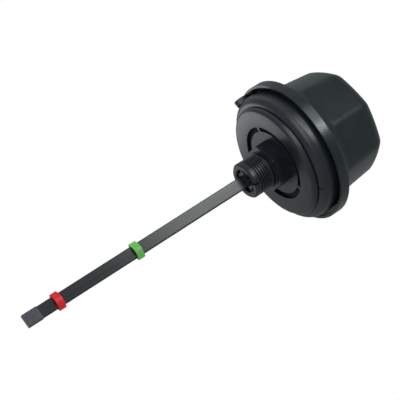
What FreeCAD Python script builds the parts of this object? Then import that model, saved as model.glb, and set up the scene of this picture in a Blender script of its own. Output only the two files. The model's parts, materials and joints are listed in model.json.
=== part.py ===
import FreeCAD, Part
import math
import os

# Oil dipstick on a reservoir breather cap. Millimetres, +Z up towards the hood.
# The origin is on the neck's axis, where its thread ends under the sealing groove.
# -Y is the side whose broad blade face and open slots are seen first.

vector = FreeCAD.Vector
up = vector(0, 0, 1)
centre = vector(0, 0, 0)

# Clearances and small edges
running_gap = 0.08          # sliding fits: marker rings, valve stem and valve disc
seat_gap = 0.05             # between pieces pushed together by hand
edge_chamfer = 0.4

# Threaded neck, its sealing groove and the hexagon boss
thread_radius = 13.5        # 27 mm thread, modelled at its outside diameter
thread_length = 15.5
thread_lead = 1.2
bore_radius = 9.0
bore_lead = 0.6
groove_height = 2.5
groove_radius = 12.1        # also the neck's radius inside the seal recess
seal_recess_radius = 14.0   # recess in the boss's underside that holds the neck seal
seal_recess_depth = 1.7
notch_width = 1.6
notch_depth = 3.0
notch_angle = -64.0
hexagon_across = 32.0
hexagon_height = 9.7
hexagon_turn = -94.5        # direction of one corner
hexagon_corner_cut = 1.0

# Plate with its ring of air slots
plate_lift = 8.7            # plate's underside above the boss's seat
plate_wall = 3.0
disc_recess = 1.0           # the disc inside the slots sits deeper than the plate
slot_inner_radius = 24.7
slot_width = 4.0
slot_outer_radius = slot_inner_radius + slot_width
slot_spans = ((120.0, 192.0), (198.0, 332.0), (338.0, 412.0))
plate_radius = 42.8
plate_edge_width = 2.6      # rounded edge, in from the plate's rim
plate_edge_height = 4.0     # rounded edge, from the underside to the parting line
plate_flat_radius = plate_radius - plate_edge_width
spigot_inset = 1.4
spigot_radius = plate_radius - spigot_inset
spigot_wall = 2.3
hook_count = 6
hook_reach = 1.4
hook_height = 1.6
hook_arc = 16.0
stand_rib_count = 8
stand_rib_width = 1.8

# Bowl: quarter-round shoulder and wall
bowl_curve = 6.0            # radius of the shoulder's quarter round
bowl_radius = plate_radius + bowl_curve
bowl_wall = 2.0
bowl_height = 16.7          # parting line to rim
mark_angle = -44.0
mark_length = 3.5
mark_width = 0.9
mark_depth = 0.7

# Hood: round flange with a skirt, sloping shoulder, eight-sided cover
skirt_gap = 3.0             # open gap between bowl and skirt
skirt_wall = 1.8
skirt_radius = bowl_radius + skirt_gap + skirt_wall
skirt_drop = 5.4            # skirt's rim below the bowl's rim
flange_wall = 2.2
flange_round = 1.4
shoulder_inset = 0.2        # the shoulder starts this far inside the bowl's radius
shoulder_width = 3.8
shoulder_rise = 7.4
shoulder_start_radius = bowl_radius - shoulder_inset
foot_radius = shoulder_start_radius - shoulder_width
foot_bead = 1.2
hood_height = 54.9          # skirt's rim to top
hood_wall = 2.2
hood_taper = 4.1            # the cover's corner radius shrinks this much from foot to top
facet_bulge = 1.3
facet_round = 12.0          # rounding of the eight corners
top_round = 10.0
hood_side_count = 8
hood_turn = 0.0
ring_wall = 1.8             # locating ring inside the bowl's wall
ring_depth = 4.0
gasket_thickness = 0.8
hold_down_radius = 19.0
hold_down_wall = 2.4
hold_down_length = 8.7      # under the hood's ceiling, down to the filter's top ring

# Eyelet that hangs from the skirt's rim
eyelet_angle = 165.0
eyelet_length = 8.6
eyelet_width = 7.0
eyelet_thickness = 4.2
eyelet_hole_radius = 1.6

# Collar on the plate, which carries the filter and holds the valves
collar_bore_radius = 13.9
collar_wall = 2.6
collar_radius = collar_bore_radius + collar_wall
collar_height = 17.5
collar_step = 3.0           # ledge that the filter's lower seal rests on
collar_step_radius = collar_radius + collar_step
seal_thickness = 2.5

# Filter element
filter_room = 2.6           # air gap between the element and the spigot
filter_radius = spigot_radius - spigot_wall - filter_room
filter_base_height = 9.8    # lower cap above the plate's inside face
filter_cap_wall = 2.5
filter_rim_wall = 1.4
filter_rim_height = 2.0
core_gap = 0.3
core_wall = 1.5
core_radius = collar_step_radius + core_wall + core_gap
core_hole_radius = 1.5
core_row_count = 5
core_hole_count = 10
pleat_count = 40
pleat_inset = 2.5
pleat_paper = 2.5           # radial thickness of the folded sheet
pleat_outer_radius = filter_radius - pleat_inset
pleat_inner_radius = core_radius + core_gap + pleat_paper
top_ring_wall = 7.0
foam_inner_radius = slot_inner_radius - 2.2
foam_outer_radius = slot_outer_radius + 1.8
foam_height = 5.0

# Holder, baffle and valves stacked in the collar
holder_flange = 1.2
holder_wall = 2.2
holder_end_inset = 1.5      # holder's lower end inside the neck
holder_rib_count = 8
holder_rib_width = 1.3
holder_bar_width = 14.0
holder_bar_depth = 7.0
port_radius = 1.5
baffle_wall = 1.0
baffle_port_count = 6
baffle_port_ring = 5.5
valve_height = 13.3
valve_wall = 1.6
valve_floor = 3.0
valve_throat_radius = 8.0
seat_bead_width = 1.2
seat_bead_height = 0.6
valve_cap_wall = 2.0
valve_cap_bore_radius = 4.6
disc_wall = 1.5
relief_disc_room = 1.0      # between the disc and the valve body's wall
hub_radius = 3.4
hub_height = 1.0
intake_disc_room = 0.6
intake_disc_radius = valve_throat_radius - intake_disc_room
stem_radius = 1.5
keeper_radius = 3.2
keeper_wall = 0.8
stem_end = 0.4
valve_port_count = 6
valve_port_ring = 5.8
valve_port_radius = 0.9
relief_wire_radius = 0.5
relief_coil_radius = 8.2
relief_turns = 3.0
intake_wire_radius = 0.22
intake_coil_radius = 2.5
intake_turns = 4.0
intake_spring_length = 4.4

# Dipstick blade, its pin and the two marker rings
blade_width = 9.0
blade_thickness = 3.0
blade_chamfer = 0.7
blade_reach = 201.5         # tip below the origin
blade_top = 10.0
blade_turn = -12.0          # broad face turned about the axis
tip_width = 9.7
tip_thickness = 3.4
tip_length = 11.5
pin_radius = 1.0
pin_height = 5.0
ring_width = 12.7
ring_thickness = 6.2
ring_length = 5.4
ring_corner_radius = 2.2
red_ring_depth = 175.4      # ring centre below the origin
green_ring_depth = 110.4

# Levels worked out from the sizes above
seat_z = groove_height
plate_z = seat_z + plate_lift
inside_z = plate_z + plate_wall
parting_z = plate_z + plate_edge_height
bowl_rim_z = parting_z + bowl_height
flange_under_z = bowl_rim_z + gasket_thickness
flange_top_z = flange_under_z + flange_wall
skirt_rim_z = bowl_rim_z - skirt_drop
hood_top_z = skirt_rim_z + hood_height
foot_z = flange_top_z + shoulder_rise
ceiling_z = hood_top_z - hood_wall
filter_z = inside_z + filter_base_height
pleat_z = filter_z + filter_cap_wall
filter_top_z = ceiling_z - hold_down_length - seal_thickness
pleat_top_z = filter_top_z - filter_cap_wall
filter_length = pleat_top_z - pleat_z
seal_z = filter_z - seal_thickness
collar_top_z = inside_z + collar_height
baffle_z = inside_z + holder_flange
valve_z = baffle_z + baffle_wall
valve_top_z = valve_z + valve_height
valve_cap_z = valve_top_z - valve_cap_wall
relief_z = valve_z + valve_floor + seat_bead_height
relief_top_z = relief_z + disc_wall
hub_top_z = relief_top_z + hub_height
keeper_z = hub_top_z + intake_spring_length
collar_fit_radius = collar_bore_radius - running_gap
relief_disc_radius = collar_fit_radius - valve_wall - relief_disc_room


def outline(*steps):
    """Face in the XZ half-plane from points (radius, height); a step of two points is an arc."""
    edges = []
    here = steps[0]
    for step in steps[1:] + (steps[0],):
        if isinstance(step[0], tuple):
            through, end = step
            edges.append(Part.Arc(flat(here), flat(through), flat(end)).toShape())
        else:
            end = step
            edges.append(Part.makeLine(flat(here), flat(end)))
        here = end
    return Part.Face(Part.Wire(edges))


def flat(point):
    return vector(point[0], 0, point[1])


def revolved(*steps):
    return outline(*steps).revolve(centre, up, 360)


def round_through(middle, radius, angle):
    """Point of an arc about middle, at an angle in the XZ half-plane."""
    turn = math.radians(angle)
    return (middle[0] + radius * math.cos(turn), middle[1] + radius * math.sin(turn))


def cylinder(radius, low, high, x=0.0, y=0.0):
    return Part.makeCylinder(radius, high - low, vector(x, y, low))


def tube(outer, inner, low, high):
    return cylinder(outer, low, high).cut(cylinder(inner, low, high))


def turned(shape, degrees):
    copy = shape.copy()
    copy.rotate(centre, up, degrees)
    return copy


def around(shape, count, start=0.0):
    return [turned(shape, start + 360.0 * k / count) for k in range(count)]


def sector(outer, inner, low, high, first, last):
    """Part of a tube between two angles."""
    solid = Part.makeCylinder(outer, high - low, vector(0, 0, low), up, last - first)
    return turned(solid.cut(cylinder(inner, low, high)), first)


def radial_bar(inner, outer, width, low, high, angle):
    bar = Part.makeBox(outer - inner, width, high - low, vector(inner, -width / 2, low))
    return turned(bar, angle)


def joined(first, others):
    return first.multiFuse(list(others)).removeSplitter()


def coil(wire_radius, coil_radius, turns, low, high):
    """Round-wire spring whose outside lies between two heights."""
    length = high - low - 2 * wire_radius
    path = Part.makeHelix(length / turns, length, coil_radius)
    section = Part.Wire(Part.makeCircle(wire_radius, vector(coil_radius, 0, 0), vector(0, 1, 0)))
    spring = Part.Wire(path.Edges).makePipeShell([section], True, True)
    spring.translate(vector(0, 0, low + wire_radius))
    return spring


def chamfered_bar(width, thickness, chamfer, low, high):
    """Flat bar along Z with its four long edges chamfered."""
    x = width / 2
    y = thickness / 2
    corners = [(x, y - chamfer), (x - chamfer, y), (chamfer - x, y), (-x, y - chamfer),
               (-x, chamfer - y), (chamfer - x, -y), (x - chamfer, -y), (x, chamfer - y)]
    points = [vector(a, b, low) for a, b in corners]
    face = Part.Face(Part.makePolygon(points + points[:1]))
    return face.extrude(vector(0, 0, high - low))


def blade_hole(clearance, low, high):
    return chamfered_bar(blade_width + 2 * clearance, blade_thickness + 2 * clearance, blade_chamfer, low, high)


def cut_ports(shape, radius, ring, count, low, high):
    for k in range(count):
        turn = 2 * math.pi * (k + 0.5) / count
        shape = shape.cut(cylinder(radius, low, high, ring * math.cos(turn), ring * math.sin(turn)))
    return shape


# Base plate, with the neck, boss, collar and spigot that are moulded with it

def neck_and_boss():
    end_z = -thread_length
    neck = revolved((bore_radius + bore_lead, end_z), (thread_radius - thread_lead, end_z),
                    (thread_radius, end_z + thread_lead), (thread_radius, 0), (groove_radius, 0),
                    (groove_radius, seat_z), (groove_radius, plate_z), (bore_radius, plate_z),
                    (bore_radius, end_z + bore_lead))
    corner_radius = hexagon_across / 2 / math.cos(math.pi / 6)
    top_z = seat_z + hexagon_height
    corners = []
    for k in range(7):
        turn = math.radians(hexagon_turn + 60 * k)
        corners.append(vector(corner_radius * math.cos(turn), corner_radius * math.sin(turn), seat_z))
    boss = Part.Face(Part.makePolygon(corners)).extrude(vector(0, 0, top_z - seat_z))
    round_low = corner_radius - hexagon_corner_cut
    limit = revolved((0, seat_z), (round_low, seat_z), (corner_radius + edge_chamfer, seat_z + hexagon_corner_cut),
                     (corner_radius + edge_chamfer, top_z), (0, top_z))
    boss = boss.common(limit).cut(cylinder(bore_radius, seat_z, top_z))
    boss = boss.cut(tube(seal_recess_radius, groove_radius, seat_z, seat_z + seal_recess_depth))
    notch = radial_bar(bore_radius - edge_chamfer, thread_radius + edge_chamfer, notch_width,
                       end_z, end_z + notch_depth, notch_angle)
    return joined(neck, [boss]).cut(notch)


def slotted_plate():
    disc_z = plate_z + disc_recess
    edge_middle = (plate_flat_radius, plate_z)
    through = (plate_flat_radius + 0.72 * (plate_radius - plate_flat_radius), plate_z + 0.27 * plate_edge_height)
    plate = revolved((slot_outer_radius, plate_z), edge_middle, (through, (plate_radius, parting_z - edge_chamfer)),
                     (plate_radius - edge_chamfer, parting_z), (spigot_radius - spigot_wall, parting_z),
                     (spigot_radius - spigot_wall, inside_z), (slot_outer_radius, inside_z))
    disc = tube(slot_inner_radius, bore_radius, disc_z, inside_z)
    spokes = []
    for (_, last), (first, _) in zip(slot_spans, slot_spans[1:] + ((slot_spans[0][0] + 360, 0),)):
        thin = first - last < 20
        low = disc_z if thin else plate_z
        overlap = edge_chamfer
        spokes.append(sector(slot_outer_radius + overlap, slot_inner_radius - overlap, low, inside_z, last, first))
    return joined(plate, [disc] + spokes)


def collar():
    outer = tube(collar_step_radius, collar_bore_radius, inside_z, seal_z)
    return outer.fuse(tube(collar_radius, collar_bore_radius, seal_z, collar_top_z))


def spigot():
    seal_top_z = parting_z + bowl_wall + seal_thickness
    hook_top_z = seal_top_z + hook_height
    wall = tube(spigot_radius, spigot_radius - spigot_wall, parting_z, seal_top_z)
    hook = sector(spigot_radius + hook_reach, spigot_radius - spigot_wall, seal_top_z, hook_top_z, 0, hook_arc)
    neck = sector(spigot_radius, spigot_radius - spigot_wall, seal_top_z - edge_chamfer, seal_top_z, 0, hook_arc)
    return [wall] + around(hook.fuse(neck), hook_count)


def base_plate():
    inner = foam_outer_radius + edge_chamfer
    outer = spigot_radius - spigot_wall + edge_chamfer
    rib = radial_bar(inner, outer, stand_rib_width, inside_z, filter_z, 0)
    pieces = [slotted_plate(), collar()] + spigot() + around(rib, stand_rib_count, 360.0 / stand_rib_count / 2)
    return joined(neck_and_boss(), pieces)


# Bowl around the plate

def base_bowl():
    hole = spigot_radius + running_gap
    curve = bowl_radius - plate_radius
    middle = (plate_radius, parting_z + curve)
    inner_curve = curve - bowl_wall
    ring = revolved((hole, parting_z), middle[:1] + (parting_z,),
                    (round_through(middle, curve, -45), (bowl_radius, middle[1])),
                    (bowl_radius, bowl_rim_z), (bowl_radius - bowl_wall, bowl_rim_z),
                    (bowl_radius - bowl_wall, middle[1]),
                    (round_through(middle, inner_curve, -45), (plate_radius, parting_z + bowl_wall)),
                    (hole, parting_z + bowl_wall))
    mark = radial_bar(plate_radius + edge_chamfer, plate_radius + mark_length, mark_width,
                      parting_z, parting_z + mark_depth, mark_angle)
    outer_mark = radial_bar(plate_radius + mark_length / 2, plate_radius + mark_length, mark_width,
                            parting_z, parting_z + 2 * mark_depth, mark_angle)
    return ring.cut(mark).cut(outer_mark)


def plate_seal():
    low = parting_z + bowl_wall
    return tube(plate_radius, spigot_radius, low, low + seal_thickness)


# Hood

def eight_sided(corner_radius, level, inset=0.0):
    """Closed line of eight slightly bulged sides, moved inwards by a wall."""
    corner = corner_radius - inset / math.cos(math.pi / hood_side_count)
    middle = corner_radius * math.cos(math.pi / hood_side_count) + facet_bulge - inset
    step = 2 * math.pi / hood_side_count
    start = math.radians(hood_turn)

    def at(radius, turn):
        return vector(radius * math.cos(turn), radius * math.sin(turn), level)

    edges = []
    for k in range(hood_side_count):
        turn = start + k * step
        edges.append(Part.Arc(at(corner, turn), at(middle, turn + step / 2), at(corner, turn + step)).toShape())
    return Part.Wire(edges)


def cover_block(low, high, inset=0.0):
    """Eight-sided block with rounded corners and top edge, narrower towards the top."""
    def corner_at(level):
        return foot_radius - hood_taper * (level - foot_z) / (hood_top_z - foot_z)

    wires = [eight_sided(corner_at(level), level, inset) for level in (low, high)]
    block = Part.makeLoft(wires, True, True)
    upright = [edge for edge in block.Edges if abs(edge.Vertexes[0].Z - edge.Vertexes[-1].Z) > (high - low) / 2]
    block = block.makeFillet(facet_round - inset, upright)
    top = [edge for edge in block.Edges if min(v.Z for v in edge.Vertexes) > high - 0.01]
    return block.makeFillet(top_round - inset, top)


def hood_outside():
    shoulder_low = (shoulder_start_radius, flange_top_z)
    shoulder_high = (foot_radius, foot_z)
    cove = (shoulder_low[0] - 0.62 * (shoulder_low[0] - foot_radius), flange_top_z + 0.42 * shoulder_rise)
    round_middle = (skirt_radius - flange_round, flange_top_z - flange_round)
    flange = revolved((0, skirt_rim_z), (skirt_radius, skirt_rim_z), (skirt_radius, round_middle[1]),
                      (round_through(round_middle, flange_round, 45), (round_middle[0], flange_top_z)),
                      shoulder_low, (cove, shoulder_high),
                      (round_through((foot_radius - foot_bead, foot_z), foot_bead, 45),
                       (foot_radius - foot_bead, foot_z + foot_bead)),
                      (0, foot_z + foot_bead))
    return flange.fuse(cover_block(flange_top_z, hood_top_z))


def hood_inside():
    ring_outer = bowl_radius - bowl_wall - running_gap
    ring_inner = ring_outer - ring_wall
    slope_gap = hood_wall + edge_chamfer
    skirt_room = cylinder(skirt_radius - skirt_wall, skirt_rim_z, flange_under_z)
    locating = tube(ring_outer, ring_inner, flange_under_z - ring_depth, flange_under_z)
    slope = revolved((0, flange_under_z), (ring_inner, flange_under_z), (ring_inner, flange_top_z),
                     (foot_radius - slope_gap, foot_z - slope_gap), (0, foot_z - slope_gap))
    block = cover_block(flange_under_z, ceiling_z, hood_wall)
    return skirt_room.cut(locating).fuse([slope, block])


def eyelet():
    """Small hanging ear with a hole, moulded on the skirt's rim."""
    outer = skirt_radius - edge_chamfer
    half = eyelet_width / 2
    low = skirt_rim_z - eyelet_length
    hole_z = low + half
    body = Part.makeBox(eyelet_thickness, eyelet_width, skirt_rim_z + flange_wall - hole_z,
                        vector(outer - eyelet_thickness, -half, hole_z))
    across = vector(1, 0, 0)
    end = Part.makeCylinder(half, eyelet_thickness, vector(outer - eyelet_thickness, 0, hole_z), across)
    hole = Part.makeCylinder(eyelet_hole_radius, 3 * eyelet_thickness,
                             vector(outer - 2 * eyelet_thickness, 0, hole_z), across)
    return turned(body.fuse(end).cut(hole), eyelet_angle)


def hood():
    shell = hood_outside().cut(hood_inside())
    inner = hold_down_radius - hold_down_wall
    hold_down = tube(hold_down_radius, inner, ceiling_z - hold_down_length, ceiling_z)
    return joined(shell, [hold_down, eyelet()])


def hood_gasket():
    return tube(bowl_radius, bowl_radius - bowl_wall, bowl_rim_z, flange_under_z)


def neck_seal():
    """Round ring in the boss's recess, drawn as it lies when screwed down."""
    cord = min(seal_recess_depth, seal_recess_radius - groove_radius) / 2
    return Part.makeTorus(groove_radius + cord, cord, vector(0, 0, seat_z + seal_recess_depth - cord))


# Filter element

def dust_foam():
    return tube(foam_outer_radius, foam_inner_radius, inside_z, inside_z + foam_height)


def filter_lower_seal():
    return tube(collar_step_radius, collar_radius, seal_z, filter_z)


def filter_lower_cap():
    inner = collar_radius + seat_gap
    floor = tube(filter_radius, inner, filter_z, pleat_z)
    rim = tube(filter_radius, filter_radius - filter_rim_wall, pleat_z, pleat_z + filter_rim_height)
    return floor.fuse(rim).removeSplitter()


def filter_upper_cap():
    roof = cylinder(filter_radius, pleat_top_z, filter_top_z)
    rim = tube(filter_radius, filter_radius - filter_rim_wall, pleat_top_z - filter_rim_height, pleat_top_z)
    return roof.fuse(rim).removeSplitter()


def zigzag(outer, inner):
    points = []
    for k in range(2 * pleat_count):
        turn = math.pi * k / pleat_count
        radius = outer if k % 2 == 0 else inner
        points.append(vector(radius * math.cos(turn), radius * math.sin(turn), pleat_z))
    return Part.Face(Part.makePolygon(points + points[:1]))


def filter_pleats():
    sheet = zigzag(pleat_outer_radius, pleat_inner_radius)
    sheet = sheet.cut(zigzag(pleat_outer_radius - pleat_paper, pleat_inner_radius - pleat_paper))
    return sheet.Faces[0].extrude(vector(0, 0, filter_length))


def filter_core():
    core = tube(core_radius, core_radius - core_wall, pleat_z, pleat_top_z)
    half_step = 180.0 / core_hole_count
    holes = []
    for row in range(core_row_count):
        level = pleat_z + filter_length * (row + 0.5) / core_row_count
        hole = Part.makeCylinder(core_hole_radius, 3 * core_wall, vector(core_radius - 2 * core_wall, 0, level),
                                 vector(1, 0, 0))
        holes += around(hole, core_hole_count, half_step * (row % 2))
    return core.cut(holes)


def filter_top_ring():
    return tube(hold_down_radius + seat_gap, hold_down_radius - top_ring_wall, filter_top_z,
                filter_top_z + seal_thickness)


# Holder and valves in the collar

def dipstick_holder():
    low = holder_end_inset - thread_length
    top_z = inside_z + holder_flange
    bar = Part.makeBox(holder_bar_width, holder_bar_depth, top_z - low,
                       vector(-holder_bar_width / 2, -holder_bar_depth / 2, low))
    rib_tip = bore_radius - seat_gap
    ribs = [radial_bar(holder_wall, rib_tip, holder_rib_width, low, top_z, 360.0 * (k + 0.5) / holder_rib_count)
            for k in range(holder_rib_count)]
    flange = tube(collar_fit_radius, bore_radius - holder_wall, inside_z, top_z)
    body = bar.common(cylinder(rib_tip, low, top_z))
    body = joined(body, ribs + [flange])
    body = body.cut(blade_hole(seat_gap, low, blade_top)).cut(pin_cylinder(pin_radius))
    return turned(body, blade_turn)


def pin_cylinder(radius):
    return Part.makeCylinder(radius, holder_bar_depth, vector(0, -holder_bar_depth / 2, pin_height), vector(0, 1, 0))


def dipstick_pin():
    return turned(pin_cylinder(pin_radius), blade_turn)


def splash_baffle():
    disc = cylinder(collar_fit_radius, baffle_z, valve_z)
    return cut_ports(disc, port_radius, baffle_port_ring, baffle_port_count, baffle_z, valve_z)


def valve_body():
    inner = collar_fit_radius - valve_wall
    floor_z = valve_z + valve_floor
    pocket = inner + valve_wall / 2
    cup = revolved((valve_throat_radius, valve_z), (collar_fit_radius, valve_z), (collar_fit_radius, valve_top_z),
                   (pocket, valve_top_z), (pocket, valve_cap_z), (inner, valve_cap_z), (inner, floor_z),
                   (valve_throat_radius, floor_z))
    bead_radius = (valve_throat_radius + inner) / 2
    bead = tube(bead_radius, bead_radius - seat_bead_width, floor_z, relief_z)
    first = relief_disc_radius + running_gap
    guide = radial_bar(first, inner + edge_chamfer, holder_rib_width, floor_z, valve_cap_z, 0)
    return joined(cup, [bead] + around(guide, 4))


def relief_disc():
    disc = cylinder(relief_disc_radius, relief_z, relief_top_z).fuse(cylinder(hub_radius, relief_top_z, hub_top_z))
    disc = disc.cut(cylinder(stem_radius + running_gap, relief_z, hub_top_z)).removeSplitter()
    return cut_ports(disc, valve_port_radius, valve_port_ring, valve_port_count, relief_z, relief_top_z)


def relief_spring():
    return coil(relief_wire_radius, relief_coil_radius, relief_turns, relief_top_z, valve_cap_z)


def relief_spring_cap():
    outer = collar_fit_radius - valve_wall / 2 - seat_gap
    cap = tube(outer, valve_cap_bore_radius, valve_cap_z, valve_top_z)
    ring = (outer + valve_cap_bore_radius) / 2
    return cut_ports(cap, port_radius, ring, baffle_port_count, valve_cap_z, valve_top_z)


def intake_disc():
    disc = cylinder(intake_disc_radius, relief_z - disc_wall, relief_z)
    stem = cylinder(stem_radius, relief_z, keeper_z + keeper_wall + stem_end)
    return disc.fuse(stem).removeSplitter()


def intake_spring():
    return coil(intake_wire_radius, intake_coil_radius, intake_turns, hub_top_z, keeper_z)


def intake_keeper():
    return tube(keeper_radius, stem_radius, keeper_z, keeper_z + keeper_wall)


# Dipstick

def dipstick_blade():
    tip_z = -blade_reach
    bar = chamfered_bar(blade_width, blade_thickness, blade_chamfer, tip_z, blade_top)
    tip = chamfered_bar(tip_width, tip_thickness, blade_chamfer, tip_z, tip_z + tip_length)
    blade = bar.fuse(tip).removeSplitter().cut(pin_cylinder(pin_radius))
    return turned(blade, blade_turn)


def marker_ring(depth):
    low = -depth - ring_length / 2
    block = Part.makeBox(ring_width, ring_thickness, ring_length, vector(-ring_width / 2, -ring_thickness / 2, low))
    upright = [edge for edge in block.Edges if abs(edge.Vertexes[0].Z - edge.Vertexes[-1].Z) > ring_length / 2]
    block = block.makeFillet(ring_corner_radius, upright)
    rims = [edge for edge in block.Edges if abs(edge.Vertexes[0].Z - edge.Vertexes[-1].Z) < 0.01]
    block = block.makeChamfer(edge_chamfer, rims)
    return turned(block.cut(blade_hole(running_gap, low, low + ring_length)), blade_turn)


pieces = {
    "hood": hood(),
    "base_bowl": base_bowl(),
    "base_plate": base_plate(),
    "plate_seal": plate_seal(),
    "hood_gasket": hood_gasket(),
    "neck_seal": neck_seal(),
    "dust_foam": dust_foam(),
    "filter_lower_seal": filter_lower_seal(),
    "filter_lower_cap": filter_lower_cap(),
    "filter_pleats": filter_pleats(),
    "filter_core": filter_core(),
    "filter_upper_cap": filter_upper_cap(),
    "filter_top_ring": filter_top_ring(),
    "dipstick_holder": dipstick_holder(),
    "splash_baffle": splash_baffle(),
    "valve_body": valve_body(),
    "relief_disc": relief_disc(),
    "relief_spring": relief_spring(),
    "relief_spring_cap": relief_spring_cap(),
    "intake_disc": intake_disc(),
    "intake_spring": intake_spring(),
    "intake_keeper": intake_keeper(),
    "dipstick_blade": dipstick_blade(),
    "dipstick_pin": dipstick_pin(),
    "red_marker_ring": marker_ring(red_ring_depth),
    "green_marker_ring": marker_ring(green_ring_depth),
}

os.makedirs("parts", exist_ok=True)
for name, shape in pieces.items():
    solids = len(shape.Solids)
    box = shape.BoundBox
    print(f"{name}: {solids} solid, valid {shape.isValid()}, {shape.Volume:.1f} mm3, "
          f"z {box.ZMin:.2f} to {box.ZMax:.2f}, x {box.XMin:.2f} to {box.XMax:.2f}")
    shape.exportStep(f"parts/{name}.step")
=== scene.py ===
import json
import math

import bmesh
import bpy
from mathutils import Matrix, Vector


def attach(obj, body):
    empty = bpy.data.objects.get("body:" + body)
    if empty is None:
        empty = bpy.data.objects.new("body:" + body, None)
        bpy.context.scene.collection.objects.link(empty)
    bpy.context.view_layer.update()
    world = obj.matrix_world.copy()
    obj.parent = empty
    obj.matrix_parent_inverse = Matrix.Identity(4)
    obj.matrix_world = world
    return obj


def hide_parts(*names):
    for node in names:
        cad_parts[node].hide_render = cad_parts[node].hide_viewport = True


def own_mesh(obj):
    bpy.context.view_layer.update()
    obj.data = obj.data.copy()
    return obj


# Oil dipstick on a reservoir breather cap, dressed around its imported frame
# metres, +Z up towards the hood, -Y is the side that the camera sees

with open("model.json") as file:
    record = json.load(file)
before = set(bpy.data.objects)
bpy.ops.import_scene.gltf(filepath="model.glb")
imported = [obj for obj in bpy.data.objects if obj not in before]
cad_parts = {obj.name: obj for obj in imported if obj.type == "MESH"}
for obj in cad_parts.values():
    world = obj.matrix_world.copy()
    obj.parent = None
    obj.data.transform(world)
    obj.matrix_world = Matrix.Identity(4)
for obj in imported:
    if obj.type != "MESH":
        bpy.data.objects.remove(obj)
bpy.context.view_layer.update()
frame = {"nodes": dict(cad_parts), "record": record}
nodes = frame["nodes"]
mm = 0.001
print("frame loaded:", len(nodes), "nodes")


# camera, world and lamps

cameraValues = {
    "target": Vector((0, 0, 0.0265)),  # on the axis, about level with the flange
    "targetPixel": (289.5, 152.9),
    "pictureSize": 400,
    "focalPixels": 1400,
    "distance": 0.9938,
    "tilt": math.radians(23.52),
    "roll": math.radians(32.45),
    "sensorWidth": 36,
    "clip": (0.05, 20),
}


def makeCamera(v):
    t, a = v["tilt"], v["roll"]
    forward = Vector((0, math.cos(t), math.sin(t)))
    right = Vector((math.sin(a), -math.sin(t) * math.cos(a), math.cos(t) * math.cos(a)))
    up = Vector((-math.cos(a), -math.sin(t) * math.sin(a), math.cos(t) * math.sin(a)))
    middle = v["pictureSize"] / 2
    perPixel = v["distance"] / v["focalPixels"]
    eye = v["target"] - forward * v["distance"]
    eye -= right * (v["targetPixel"][0] - middle) * perPixel
    eye += up * (v["targetPixel"][1] - middle) * perPixel
    data = bpy.data.cameras.new("camera")
    data.sensor_width = v["sensorWidth"]
    data.lens = v["sensorWidth"] * v["focalPixels"] / v["pictureSize"]
    data.clip_start, data.clip_end = v["clip"]
    camera = bpy.data.objects.new("camera", data)
    bpy.context.scene.collection.objects.link(camera)
    camera.matrix_world = Matrix((
        (right.x, up.x, -forward.x, eye.x),
        (right.y, up.y, -forward.y, eye.y),
        (right.z, up.z, -forward.z, eye.z),
        (0, 0, 0, 1)))
    bpy.context.scene.camera = camera


class Flow:  # a value between nodes: sums and products on it add Math nodes
    def __init__(self, finish, socket):
        self.finish = finish
        self.socket = socket

    def math(self, operation, first, second):
        return self.finish.node("ShaderNodeMath", {"operation": operation}, {0: first, 1: second})

    def __add__(self, other):
        return self.math("ADD", self, other)

    def __rsub__(self, other):
        return self.math("SUBTRACT", other, self)

    def __mul__(self, other):
        return self.math("MULTIPLY", self, other)

    def __pow__(self, other):
        return self.math("POWER", self, other)

    __radd__ = __add__
    __rmul__ = __mul__


class Finish:  # the nodes of one material, or of the world
    def __init__(self, owner):
        self.owner = owner
        owner.use_nodes = True
        self.tree = owner.node_tree
        self.tree.nodes.clear()

    def node(self, kind, settings=None, values=None, output=0):
        made = self.tree.nodes.new(kind)
        for key, value in (settings or {}).items():
            if key == "stops":
                ramp = made.color_ramp
                while len(ramp.elements) < len(value):
                    ramp.elements.new(0.5)
                for element, (place, level) in zip(ramp.elements, value):
                    element.position = place
                    element.color = (level, level, level, 1)
            else:
                setattr(made, key, value)
        for key, value in (values or {}).items():
            if isinstance(value, Flow):
                self.tree.links.new(value.socket, made.inputs[key])
            elif isinstance(value, tuple) and len(value) == 3 and made.inputs[key].type == "RGBA":
                made.inputs[key].default_value = (*value, 1)
            else:
                made.inputs[key].default_value = value
        return Flow(self, made.outputs[output]) if made.outputs else None

    def position(self):
        return self.node("ShaderNodeTexCoord", output="Object")

    def axes(self, vector):
        split = self.node("ShaderNodeSeparateXYZ", None, {0: vector})
        return [Flow(self, socket) for socket in split.socket.node.outputs]

    def noise(self, scale, detail=2.0, stretch=None):
        where = self.position()
        if stretch:
            where = self.node("ShaderNodeMapping", None, {"Vector": where, "Scale": stretch})
        return self.node("ShaderNodeTexNoise", None, {"Vector": where, "Scale": scale, "Detail": detail})

    def ramp(self, value, *stops):
        return self.node("ShaderNodeValToRGB", {"stops": stops}, {0: value})

    def between(self, value, low, high):  # 0 up to low, 1 from high on
        return self.ramp(value, (low, 0.0), (high, 1.0))

    def mixed(self, share, first, second):
        return self.node("ShaderNodeMix", {"data_type": "RGBA"}, {0: share, 6: first, 7: second}, output=2)

    def bump(self, height, distance):
        return self.node("ShaderNodeBump", None, {"Height": height, "Distance": distance})

    def surface(self, values):
        shader = self.node("ShaderNodeBsdfPrincipled", None, values)
        self.node("ShaderNodeOutputMaterial", None, {"Surface": shader})
        return self.owner


def newFinish(name):
    return Finish(bpy.data.materials.new(name))


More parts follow.
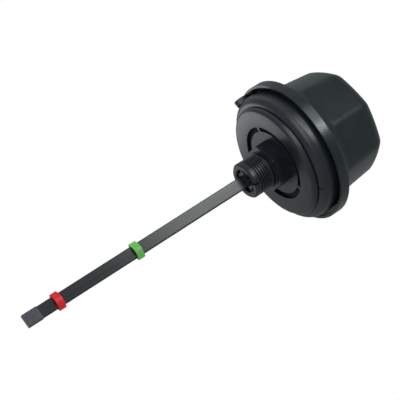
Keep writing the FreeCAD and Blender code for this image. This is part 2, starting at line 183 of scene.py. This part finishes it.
studio = {
    "background": (1.0, 1.0, 1.0),
    "reflected": (0.90, 0.97, 1.0),
    "ambient": 0.5,             # what the matt surfaces receive
    "reflectedLow": 0.34,       # dark side of the room, in reflections
    "reflectedHigh": 0.95,      # pale side
    "paleSide": Vector((-0.85, 0.0, -0.50)),
    "paleFrom": 0.68,           # 0.5 is at right angles to the pale side, 1 is towards it
    "paleTo": 0.97,
}
floorValues = {
    "height": -1.1,
    "radius": 6,
    "sides": 64,
    "colour": (0.86, 0.86, 0.86),
    "mottleScale": 3.0,
    "mottleShade": 0.97,
    "roughness": 0.8,
}
softLamps = [
    {"name": "flangeSoftbox", "aim": Vector((-0.12, -0.865, 0.488)), "away": 0.9,
     "size": (0.18, 0.13), "level": 16.0, "colour": (0.91, 1.0, 0.93)},
    {"name": "bladeSoftbox", "aim": Vector((-0.386, -0.864, 0.335)), "away": 0.45,
     "size": (0.22, 0.15), "level": 5.0, "colour": (0.91, 1.0, 0.93)},
    {"name": "lowerSoftbox", "aim": Vector((-0.35, -0.80, -0.42)), "away": 0.9,
     "size": (0.66, 0.66), "level": 2.4, "colour": (0.91, 0.92, 1.0)},
    {"name": "plateSoftbox", "aim": Vector((-0.27, 0.86, -0.45)), "away": 0.6,
     "size": (0.24, 0.30), "level": 2.0, "colour": (0.93, 0.98, 1.0)},
]


def makeWorld(v):
    world = bpy.data.worlds.new("studio")
    bpy.context.scene.world = world
    room = Finish(world)
    ray = room.node("ShaderNodeLightPath")
    isCamera = Flow(room, ray.socket.node.outputs["Is Camera Ray"])
    isGlossy = Flow(room, ray.socket.node.outputs["Is Glossy Ray"])
    isClear = Flow(room, ray.socket.node.outputs["Is Transmission Ray"])
    direction = room.node("ShaderNodeTexCoord", output="Generated")
    pale = room.node("ShaderNodeVectorMath", {"operation": "DOT_PRODUCT"},
                     {0: direction, 1: v["paleSide"].normalized()}, output="Value")
    share = room.between(pale * 0.5 + 0.5, v["paleFrom"], v["paleTo"])
    level = share * (v["reflectedHigh"] - v["reflectedLow"]) + v["reflectedLow"]
    level = isGlossy * level + (1 - isGlossy) * v["ambient"]
    seen = isCamera + isClear
    level = seen + (1 - seen) * level
    colour = room.mixed(seen, v["reflected"], v["background"])
    shader = room.node("ShaderNodeBackground", None, {"Color": colour, "Strength": level})
    room.node("ShaderNodeOutputWorld", None, {"Surface": shader})


def makeLamp(v):
    data = bpy.data.lights.new(v["name"], "AREA")
    data.shape = "RECTANGLE"
    data.size, data.size_y = v["size"]
    data.energy = v["level"] * math.pi * v["size"][0] * v["size"][1]  # level 1 is as bright as white paper
    data.color = v["colour"]
    lamp = bpy.data.objects.new(v["name"], data)
    bpy.context.scene.collection.objects.link(lamp)
    aim = v["aim"].normalized()
    lamp.location = aim * v["away"]
    lamp.rotation_mode = "QUATERNION"
    lamp.rotation_quaternion = aim.to_track_quat("Z", "Y")


def makeFloor(v):
    bm = bmesh.new()
    bmesh.ops.create_circle(bm, cap_ends=True, radius=v["radius"], segments=v["sides"],
                            matrix=Matrix.Translation((0, 0, v["height"])))
    mesh = bpy.data.meshes.new("floor")
    bm.to_mesh(mesh)
    bm.free()
    floor = bpy.data.objects.new("floor", mesh)
    bpy.context.scene.collection.objects.link(floor)
    finish = newFinish("paleFloor")
    shaded = tuple(v["mottleShade"] * c for c in v["colour"])
    colour = finish.mixed(finish.noise(v["mottleScale"]), v["colour"], shaded)
    mesh.materials.append(finish.surface({"Base Color": colour, "Roughness": v["roughness"]}))


makeCamera(cameraValues)
makeWorld(studio)
for lampValues in softLamps:
    makeLamp(lampValues)
makeFloor(floorValues)
bpy.context.scene.view_settings.view_transform = "Standard"
print("camera, world and lamps made")


# finishes

mouldedGrain = {
    "cloudScale": 90.0, "cloudDetail": 3.0, "cloudFrom": 0.3, "cloudTo": 0.7, "cloudRoughness": 0.08,
    "fineScale": 1400.0, "fineRoughness": 0.05,
}
plasticLooks = {
    "hood_plastic": {"dark": (0.0055, 0.0095, 0.0105), "light": (0.0085, 0.0135, 0.0145),
                     "roughness": 0.28, "grain": 0.012 * mm},
    "base_plastic": {"dark": (0.0065, 0.008, 0.0115), "light": (0.0095, 0.0115, 0.0155),
                     "roughness": 0.34, "grain": 0.012 * mm},
    "holder_plastic": {"dark": (0.005, 0.005, 0.006), "light": (0.008, 0.008, 0.009),
                       "roughness": 0.42, "grain": 0.02 * mm},
    "filter_plastic": {"dark": (0.075, 0.078, 0.085), "light": (0.11, 0.112, 0.12),
                       "roughness": 0.5, "grain": 0.02 * mm},
    "valve_plastic": {"dark": (0.58, 0.57, 0.53), "light": (0.68, 0.67, 0.63),
                      "roughness": 0.45, "grain": 0.015 * mm},
    "red_plastic": {"dark": (0.50, 0.004, 0.008), "light": (0.66, 0.008, 0.012),
                    "roughness": 0.36, "grain": 0.01 * mm},
    "green_plastic": {"dark": (0.10, 0.40, 0.06), "light": (0.15, 0.50, 0.08),
                      "roughness": 0.4, "grain": 0.01 * mm},
}


def mouldedPlastic(name, look, v):
    finish = newFinish(name)
    cloud = finish.noise(v["cloudScale"], v["cloudDetail"])
    fine = finish.noise(v["fineScale"])
    share = finish.between(cloud, v["cloudFrom"], v["cloudTo"])
    smoothest = look["roughness"] - (v["cloudRoughness"] + v["fineRoughness"]) / 2
    return finish.surface({
        "Base Color": finish.mixed(share, look["dark"], look["light"]),
        "Roughness": cloud * v["cloudRoughness"] + fine * v["fineRoughness"] + smoothest,
        "Normal": finish.bump(fine, look["grain"]),
    })


bladeLook = {
    "dark": (0.0075, 0.0085, 0.0115),
    "light": (0.0135, 0.0150, 0.0180),
    "roughness": 0.27,
    "grain": 0.0004 * mm,
    "fineScale": 1400.0,
    "streakStretch": (420, 420, 7),  # long streaks down the blade
    "streakFrom": 0.35,
    "streakTo": 0.65,
    "streakRoughness": 0.12,
    "cloudScale": 45.0,
    "cloudDetail": 3.0,
    "cloudRoughness": 0.05,
    "tip": (0.042, 0.041, 0.056),    # the grip on the tip is paler
    "tipHeight": -190.0 * mm,
    "tipFade": 0.5 * mm,
}


def drawnPlastic(name, look):
    finish = newFinish(name)
    height = finish.axes(finish.position())[2]
    streaks = finish.noise(1.0, stretch=look["streakStretch"])
    cloud = finish.noise(look["cloudScale"], look["cloudDetail"])
    fine = finish.noise(look["fineScale"])
    share = finish.between(streaks, look["streakFrom"], look["streakTo"])
    tip = finish.between((look["tipHeight"] - height) * (1 / look["tipFade"]), 0.0, 1.0)
    colour = finish.mixed(tip, finish.mixed(share, look["dark"], look["light"]), look["tip"])
    smoothest = look["roughness"] - (look["streakRoughness"] + look["cloudRoughness"]) / 2
    return finish.surface({
        "Base Color": colour,
        "Roughness": streaks * look["streakRoughness"] + cloud * look["cloudRoughness"] + smoothest,
        "Normal": finish.bump(fine, look["grain"]),
    })


rubberLook = {
    "dark": (0.012, 0.012, 0.012), "dusty": (0.030, 0.030, 0.029),
    "scale": 260.0, "detail": 4.0, "dustFrom": 0.45, "dustTo": 0.75,
    "roughness": 0.55, "dustRoughness": 0.1, "grain": 0.02 * mm,
}


def sealRubber(name, look):
    finish = newFinish(name)
    dust = finish.noise(look["scale"], look["detail"])
    share = finish.between(dust, look["dustFrom"], look["dustTo"])
    return finish.surface({
        "Base Color": finish.mixed(share, look["dark"], look["dusty"]),
        "Roughness": dust * look["dustRoughness"] + look["roughness"],
        "Normal": finish.bump(dust, look["grain"]),
    })


# open-cell foam: its own dark tone is pushed further to near black as painted shade, so the slots over it
# read as deep shadow
foamLookWithSlotShade = {
    "web": (0.0015, 0.0015, 0.0015), "cell": (0.008, 0.008, 0.008),
    "scale": 900.0, "edge": 0.18, "roughness": 0.9, "depth": 0.3 * mm,
}


def openFoam(name, look):
    finish = newFinish(name)
    cells = finish.node("ShaderNodeTexVoronoi", {"feature": "DISTANCE_TO_EDGE"},
                        {"Vector": finish.position(), "Scale": look["scale"]})
    openCells = finish.ramp(cells, (0.0, 1.0), (look["edge"], 0.0))
    return finish.surface({
        # the web and cell colours both carry the painted slot shade
        "Base Color": finish.mixed(openCells, look["web"], look["cell"]),
        "Roughness": look["roughness"],
        "Normal": finish.bump(openCells, look["depth"]),
    })


paperLook = {
    "dark": (0.66, 0.56, 0.34), "light": (0.82, 0.74, 0.54),
    "detail": 5.0, "stretch": (700, 700, 1800), "roughness": 0.85, "grain": 0.04 * mm,
}


def pleatedPaper(name, look):
    finish = newFinish(name)
    fibres = finish.noise(1.0, look["detail"], stretch=look["stretch"])
    return finish.surface({
        "Base Color": finish.mixed(fibres, look["dark"], look["light"]),
        "Roughness": look["roughness"],
        "Normal": finish.bump(fibres, look["grain"]),
    })


feltLook = {
    "dark": (0.30, 0.29, 0.27), "light": (0.52, 0.51, 0.48), "scale": 1100.0, "detail": 6.0,
    "fibreFrom": 0.3, "fibreTo": 0.7, "roughness": 0.95, "grain": 0.15 * mm,
}


def pressedFelt(name, look):
    finish = newFinish(name)
    fibres = finish.noise(look["scale"], look["detail"])
    share = finish.between(fibres, look["fibreFrom"], look["fibreTo"])
    return finish.surface({
        "Base Color": finish.mixed(share, look["dark"], look["light"]),
        "Roughness": look["roughness"],
        "Normal": finish.bump(fibres, look["grain"]),
    })


turningMarks = {"acrossScale": 9000, "alongScale": 5000, "roughness": 0.15, "depth": 0.01 * mm}
metalLooks = {
    "valve_brass": {"dark": (0.66, 0.44, 0.17), "light": (0.82, 0.62, 0.30), "roughness": 0.22},
    "spring_steel": {"dark": (0.50, 0.50, 0.51), "light": (0.68, 0.68, 0.69), "roughness": 0.2},
}


def turnedMetal(name, look, v):
    finish = newFinish(name)
    x, y, z = finish.axes(finish.position())
    radius = (x * x + y * y) ** 0.5
    place = radius * v["acrossScale"] + z * v["alongScale"]
    rings = finish.node("ShaderNodeTexNoise", {"noise_dimensions": "1D"}, {"W": place})
    return finish.surface({
        "Base Color": finish.mixed(rings, look["dark"], look["light"]),
        "Metallic": 1.0,
        "Roughness": rings * v["roughness"] + look["roughness"],
        "Normal": finish.bump(rings, v["depth"]),
    })


finishes = {name: mouldedPlastic(name, look, mouldedGrain) for name, look in plasticLooks.items()}
finishes["blade_plastic"] = drawnPlastic("blade_plastic", bladeLook)
finishes["seal_rubber"] = sealRubber("seal_rubber", rubberLook)
finishes["foam"] = openFoam("foam", foamLookWithSlotShade)
finishes["filter_paper"] = pleatedPaper("filter_paper", paperLook)
finishes["felt"] = pressedFelt("felt", feltLook)
for name, look in metalLooks.items():
    finishes[name] = turnedMetal(name, look, turningMarks)

slotOf = {part["node"]: part["material_slot"] for part in frame["record"]["subparts"]}
for nodeName, node in nodes.items():
    node.data.materials.clear()
    node.data.materials.append(finishes[slotOf[nodeName]])
print("finishes given to the nodes:", len(finishes))


# pieces

near = 0.01 * mm                # two heights this close are the same


def bodyOf(nodeName):
    bodies = frame["record"]["behaviour"]["bodies"]
    return next(body for body, members in bodies.items() if nodeName in members)


def pieceName(nodeName):
    return nodeName.title().replace("_", "")


def placePiece(name, bm, stoodFor, sharpAngle):
    bmesh.ops.recalc_face_normals(bm, faces=bm.faces)
    mesh = bpy.data.meshes.new(name)
    bm.to_mesh(mesh)
    bm.free()
    if mesh.attributes.get("custom_normal"):  # a merged copy still carries the CAD mesh's own normals
        mesh.attributes.remove(mesh.attributes["custom_normal"])
    mesh.shade_smooth()
    mesh.set_sharp_from_angle(angle=sharpAngle)
    mesh.materials.append(finishes[slotOf[stoodFor]])
    piece = bpy.data.objects.new(name, mesh)
    bpy.context.scene.collection.objects.link(piece)
    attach(piece, bodyOf(stoodFor))
    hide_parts(stoodFor)
    print("piece", name, len(mesh.polygons), "faces")
    return piece


def mergedCopy(nodeName, distance):
    bm = bmesh.new()
    bm.from_mesh(nodes[nodeName].data)
    bmesh.ops.remove_doubles(bm, verts=bm.verts, dist=distance)
    return bm


def cutAcross(bm, places, direction, merge):
    for place in places:
        bmesh.ops.bisect_plane(bm, geom=bm.verts[:] + bm.edges[:] + bm.faces[:], dist=merge,
                               plane_co=tuple(place * d for d in direction), plane_no=direction)


def roundEdges(bm, edges, offset, segments):
    bmesh.ops.bevel(bm, geom=edges, offset=offset, segments=segments, affect="EDGES",
                    profile=0.5, material=-1)


def radiusOf(point):
    return math.hypot(point.x, point.y)


threadValues = {
    "radius": 13.5 * mm,
    "depth": 1.1 * mm,
    "pitch": 2.0 * mm,
    "low": -12.4 * mm,          # the plain lead-in and the notch lie below this
    "high": 0.0,
    "segments": 120,
    "rowsPerTurn": 14,
    "crest": 0.22,              # share of the pitch that is flat crest
    "root": 0.16,
    "fade": 1.1 * mm,
    "weld": 0.002 * mm,
    "cutMerge": 0.001 * mm,
    "slack": 0.05 * mm,
    "rimSlack": 0.2 * mm,       # the neck's facets lie this far inside its radius at most
    "upright": 0.5,             # walls have normals flatter than this
    "sharpAngle": math.radians(32),
}


def threadDepth(v, point):
    turn = math.atan2(point.y, point.x) / (2 * math.pi)
    along = (point.z / v["pitch"] - turn) % 1.0
    fromCrest = abs(along - 0.5) * 2  # 0 at the crest's middle, 1 at the root's
    flank = (fromCrest - v["crest"]) / (1 - v["crest"] - v["root"])
    flank = min(max(flank, 0), 1)
    ends = min(point.z - v["low"], v["high"] - point.z) / v["fade"]
    return v["depth"] * flank * min(max(ends, 0), 1)


def onNeckWall(v, face):
    return (abs(face.normal.z) < v["upright"]
            and all(radiusOf(p.co) > v["radius"] - v["slack"] for p in face.verts)
            and all(v["low"] - v["slack"] < p.co.z < v["high"] + v["slack"] for p in face.verts))


def onNeckRim(v, edge, height):
    return (edge.is_boundary
            and all(radiusOf(p.co) > v["radius"] - v["rimSlack"] for p in edge.verts)
            and all(abs(p.co.z - height) < v["slack"] for p in edge.verts))


def threadedBase(v):
    bm = mergedCopy("base_plate", v["weld"])
    cutAcross(bm, (v["low"], v["high"]), (0, 0, 1), v["cutMerge"])
    bmesh.ops.delete(bm, geom=[f for f in bm.faces if onNeckWall(v, f)], context="FACES")
    lowRim = [e for e in bm.edges if onNeckRim(v, e, v["low"])]
    highRim = [e for e in bm.edges if onNeckRim(v, e, v["high"])]
    rows = round((v["high"] - v["low"]) / v["pitch"] * v["rowsPerTurn"])
    step = (v["high"] - v["low"]) / rows
    made = bmesh.ops.create_circle(bm, cap_ends=False, radius=v["radius"], segments=v["segments"],
                                   matrix=Matrix.Translation((0, 0, v["low"])))
    thread = list(made["verts"])
    first = edges = list({e for p in thread for e in p.link_edges})
    for row in range(rows):
        grown = bmesh.ops.extrude_edge_only(bm, edges=edges)["geom"]
        ring = {g for g in grown if isinstance(g, bmesh.types.BMVert)}
        edges = [g for g in grown if isinstance(g, bmesh.types.BMEdge) and set(g.verts) <= ring]
        bmesh.ops.translate(bm, verts=list(ring), vec=(0, 0, step))
        thread += list(ring)
    for p in thread:
        p.co.xy *= 1 - threadDepth(v, p.co) / v["radius"]
    bmesh.ops.bridge_loops(bm, edges=lowRim + first)
    bmesh.ops.bridge_loops(bm, edges=highRim + edges)
    return placePiece("basePlateThreaded", bm, "base_plate", v["sharpAngle"])


threadedBase(threadValues)

# flat bars for the blade and its rings

barCutMerge = 0.0005 * mm


def barBetween(bm, width, thickness, low, high):
    size = Matrix.Diagonal((width, thickness, high - low, 1))
    bmesh.ops.create_cube(bm, size=1.0, matrix=Matrix.Translation((0, 0, (low + high) / 2)) @ size)


def joinInto(bm, other):
    mesh = bpy.data.meshes.new("joined")
    other.to_mesh(mesh)
    other.free()
    bm.from_mesh(mesh)
    bpy.data.meshes.remove(mesh)


def alongEdges(bm):
    return [e for e in bm.edges if abs(e.verts[0].co.z - e.verts[1].co.z) > 1 * mm]


def endEdges(bm, height):
    return [e for e in bm.edges if all(abs(p.co.z - height) < near for p in e.verts)]


def evenly(half, strips):  # the lines between equal strips across a face
    return [half * (2 * k / strips - 1) for k in range(1, strips)]


def turnAbout(bm, angle):
    bmesh.ops.rotate(bm, verts=bm.verts, matrix=Matrix.Rotation(angle, 3, "Z"))


bladeValues = {
    "width": 9.0 * mm,
    "thickness": 3.0 * mm,
    "chamfer": 0.6 * mm,
    "chamferSteps": 2,
    "turn": math.radians(-12),
    "low": -201.5 * mm,
    "high": 10.0 * mm,
    "hollow": 0.13 * mm,        # the broad faces dip this much between their edges
    "strips": 10,
    "tipWidth": 9.7 * mm,
    "tipThickness": 3.4 * mm,
    "tipLength": 11.5 * mm,
    "tipEdge": 0.25 * mm,
    "gripMargin": 0.8 * mm,     # plain strip at both ends of the grip
    "gripPitch": 1.5 * mm,      # crossed grooves on the tip
    "gripGroove": 0.45,         # share of half the pitch that a groove's flank takes
    "gripDepth": 0.07 * mm,
    "gripCells": (56, 74),
    "flat": 0.001 * mm,
    "sharpAngle": math.radians(24),
}


def gripDepthAt(v, x, z):
    first = (x + z) / v["gripPitch"] / math.sqrt(2)
    second = (x - z) / v["gripPitch"] / math.sqrt(2)
    groove = min(abs(first % 1 - 0.5), abs(second % 1 - 0.5)) / 0.5
    return v["gripDepth"] * (1 - min(groove / v["gripGroove"], 1))


def bladeBar(v, shoulder):
    bm = bmesh.new()
    barBetween(bm, v["width"], v["thickness"], shoulder, v["high"])
    roundEdges(bm, alongEdges(bm), v["chamfer"], v["chamferSteps"])
    half = v["width"] / 2 - v["chamfer"]
    cutAcross(bm, evenly(half, v["strips"]), (1, 0, 0), barCutMerge)
    for p in bm.verts:
        if abs(p.co.x) < half:
            p.co.y -= math.copysign(v["hollow"] * (1 - (p.co.x / half) ** 2), p.co.y)
    return bm


def bladeTip(v, shoulder):
    bm = bmesh.new()
    barBetween(bm, v["tipWidth"], v["tipThickness"], v["low"], shoulder)
    roundEdges(bm, alongEdges(bm), v["chamfer"], v["chamferSteps"])
    roundEdges(bm, endEdges(bm, v["low"]) + endEdges(bm, shoulder), v["tipEdge"], v["chamferSteps"])
    half = v["tipWidth"] / 2 - v["chamfer"]
    middle = (v["low"] + shoulder) / 2
    long = v["tipLength"] / 2 - v["gripMargin"]
    columns, rows = v["gripCells"]
    cutAcross(bm, evenly(half, columns), (1, 0, 0), barCutMerge)
    cutAcross(bm, [middle + long * (2 * k / rows - 1) for k in range(rows + 1)], (0, 0, 1), barCutMerge)
    for p in bm.verts:
        onFace = abs(abs(p.co.y) - v["tipThickness"] / 2) < v["flat"]
        if onFace and abs(p.co.x) < half and abs(p.co.z - middle) < long:
            p.co.y -= math.copysign(gripDepthAt(v, p.co.x, p.co.z), p.co.y)
    return bm


def dipstickBlade(v):
    shoulder = v["low"] + v["tipLength"]
    bm = bladeBar(v, shoulder)
    joinInto(bm, bladeTip(v, shoulder))
    turnAbout(bm, v["turn"])
    return placePiece("dipstickBlade", bm, "dipstick_blade", v["sharpAngle"])


dipstickBlade(bladeValues)

ringValues = {
    "outside": {"width": 12.7 * mm, "side": 2.6 * mm, "arch": 2.9 * mm, "corner": 0.9 * mm},
    "slot": {"width": 9.5 * mm, "side": 2.0 * mm, "arch": 2.2 * mm, "corner": 0.3 * mm},
    "length": 5.4 * mm,
    "edge": 0.4 * mm,
    "edgeSteps": 3,
    "cornerSteps": 5,
    "strips": 14,
    "endNormal": 0.9,           # faces whose normals point this much along the blade are ends
    "turn": math.radians(-12),
    "sharpAngle": math.radians(40),
    "middles": {"red_marker_ring": -175.4 * mm, "green_marker_ring": -110.4 * mm},
}


def sleeve(v, form, low, high):
    # side is the thickness at the narrow sides, and the broad sides rise by arch towards their middle
    bm = bmesh.new()
    barBetween(bm, form["width"], form["side"], low, high)
    roundEdges(bm, alongEdges(bm), form["corner"], v["cornerSteps"])
    half = form["width"] / 2 - form["corner"]
    cutAcross(bm, evenly(half, v["strips"]), (1, 0, 0), barCutMerge)
    for p in bm.verts:
        if abs(p.co.x) < half + near:
            p.co.y += math.copysign(form["arch"] * (1 - (p.co.x / half) ** 2), p.co.y)
    bm.normal_update()
    ends = [f for f in bm.faces if abs(f.normal.z) > v["endNormal"]]
    bmesh.ops.delete(bm, geom=ends, context="FACES")
    return bm


def markerRing(v, nodeName, middle):
    low, high = middle - v["length"] / 2, middle + v["length"] / 2
    bm = sleeve(v, v["outside"], low, high)
    outerRims = [e for e in bm.edges if e.is_boundary]
    slot = sleeve(v, v["slot"], low, high)
    bmesh.ops.reverse_faces(slot, faces=slot.faces)  # so that the ends bridge straight across
    joinInto(bm, slot)
    for height in (low, high):
        bmesh.ops.bridge_loops(bm, edges=[e for e in endEdges(bm, height) if e.is_boundary])
    roundEdges(bm, outerRims, v["edge"], v["edgeSteps"])
    turnAbout(bm, v["turn"])
    return placePiece(pieceName(nodeName), bm, nodeName, v["sharpAngle"])


for nodeName, middle in ringValues["middles"].items():
    markerRing(ringValues, nodeName, middle)

springValues = {
    "relief_spring": {"wire": 0.5 * mm, "coil": 8.2 * mm, "low": 21.5 * mm, "high": 27.7 * mm, "turns": 3.0,
                      "joint": "relief_lift", "travel": 2.0 * mm, "fixedEnd": 27.7 * mm},
    "intake_spring": {"wire": 0.22 * mm, "coil": 2.5 * mm, "low": 22.5 * mm, "high": 26.9 * mm, "turns": 4.0,
                      "joint": "intake_drop", "travel": 1.5 * mm, "fixedEnd": 22.5 * mm},
}
springForm = {"endTurns": 0.75, "stepsPerTurn": 48, "wireSides": 12, "sharpAngle": math.radians(50)}


def wireSpring(nodeName, v, form):  # a helix between two flat end turns
    bm = bmesh.new()
    place = Matrix.Translation((v["coil"], 0, v["low"] + v["wire"])) @ Matrix.Rotation(math.pi / 2, 4, "X")
    section = bmesh.ops.create_circle(bm, cap_ends=True, radius=v["wire"], segments=form["wireSides"],
                                      matrix=place)["verts"]
    rise = v["high"] - v["low"] - 2 * v["wire"]
    flat = (form["endTurns"], 0.0)
    for turns, climb in (flat, (v["turns"] - 2 * form["endTurns"], rise), flat):
        steps = round(turns * form["stepsPerTurn"])
        faces = {f for p in section for f in p.link_faces if all(q in section for q in f.verts)}
        edges = {e for f in faces for e in f.edges}
        grown = bmesh.ops.spin(bm, geom=section + list(edges) + list(faces), cent=(0, 0, 0), axis=(0, 0, 1),
                               dvec=(0, 0, climb / steps), angle=turns * 2 * math.pi, steps=steps,
                               use_merge=False, use_duplicate=False)["geom_last"]
        section = [g for g in grown if isinstance(g, bmesh.types.BMVert)]
    spring = placePiece(pieceName(nodeName), bm, nodeName, form["sharpAngle"])
    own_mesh(spring)


for nodeName, values in springValues.items():
    wireSpring(nodeName, values, springForm)
